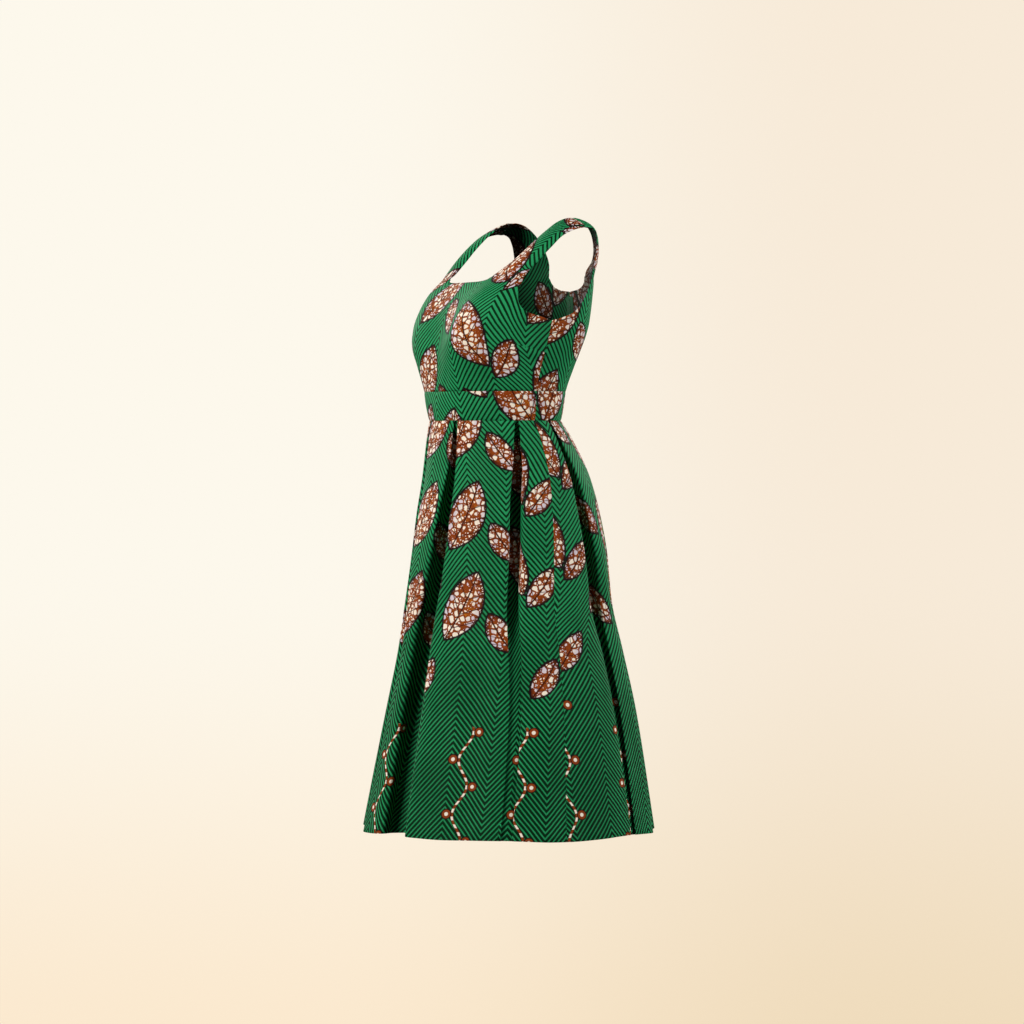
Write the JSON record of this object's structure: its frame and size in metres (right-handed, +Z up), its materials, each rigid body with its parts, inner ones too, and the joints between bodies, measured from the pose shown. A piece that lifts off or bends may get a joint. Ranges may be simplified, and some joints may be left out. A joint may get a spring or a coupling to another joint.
{
  "type": "ankara wax print dress",
  "caption": "Sleeveless knee-length dress in wax print cotton: square neck, wide straps, fitted bodice, midriff band, pleated flared skirt, concealed back zip.",
  "frame": {"origin": "midway between the tops of the two shoulder straps, where the dress hangs from the shoulders", "axes": "+Z up, the front of the dress towards -Y, the wearer's left towards +X"},
  "size_m": [0.4794, 0.4708, 0.9835],
  "materials": {
    "wax_print_cotton": "printed, lightly glazed",
    "zip_tape": "woven tape",
    "zip_enamel": "gloss"
  },
  "bodies": {
    "dress": {"band_back_left": "wax_print_cotton", "band_back_right": "wax_print_cotton", "band_front": "wax_print_cotton", "bodice_back_left": "wax_print_cotton", "bodice_back_right": "wax_print_cotton", "bodice_front": "wax_print_cotton", "skirt_back_left": "wax_print_cotton", "skirt_back_right": "wax_print_cotton", "skirt_front": "wax_print_cotton", "zip_tape": "zip_tape", "zip_slider": "zip_enamel"},
    "pull": {"zip_pull": "zip_enamel"}
  },
  "joints": [
    {"name": "pull_swing", "type": "hinge", "parent": "dress", "child": "pull", "pos_m": [0, 0.05621, -0.12225], "axis": [1, 0, 0], "range_deg": [0, 150]}
  ]
}
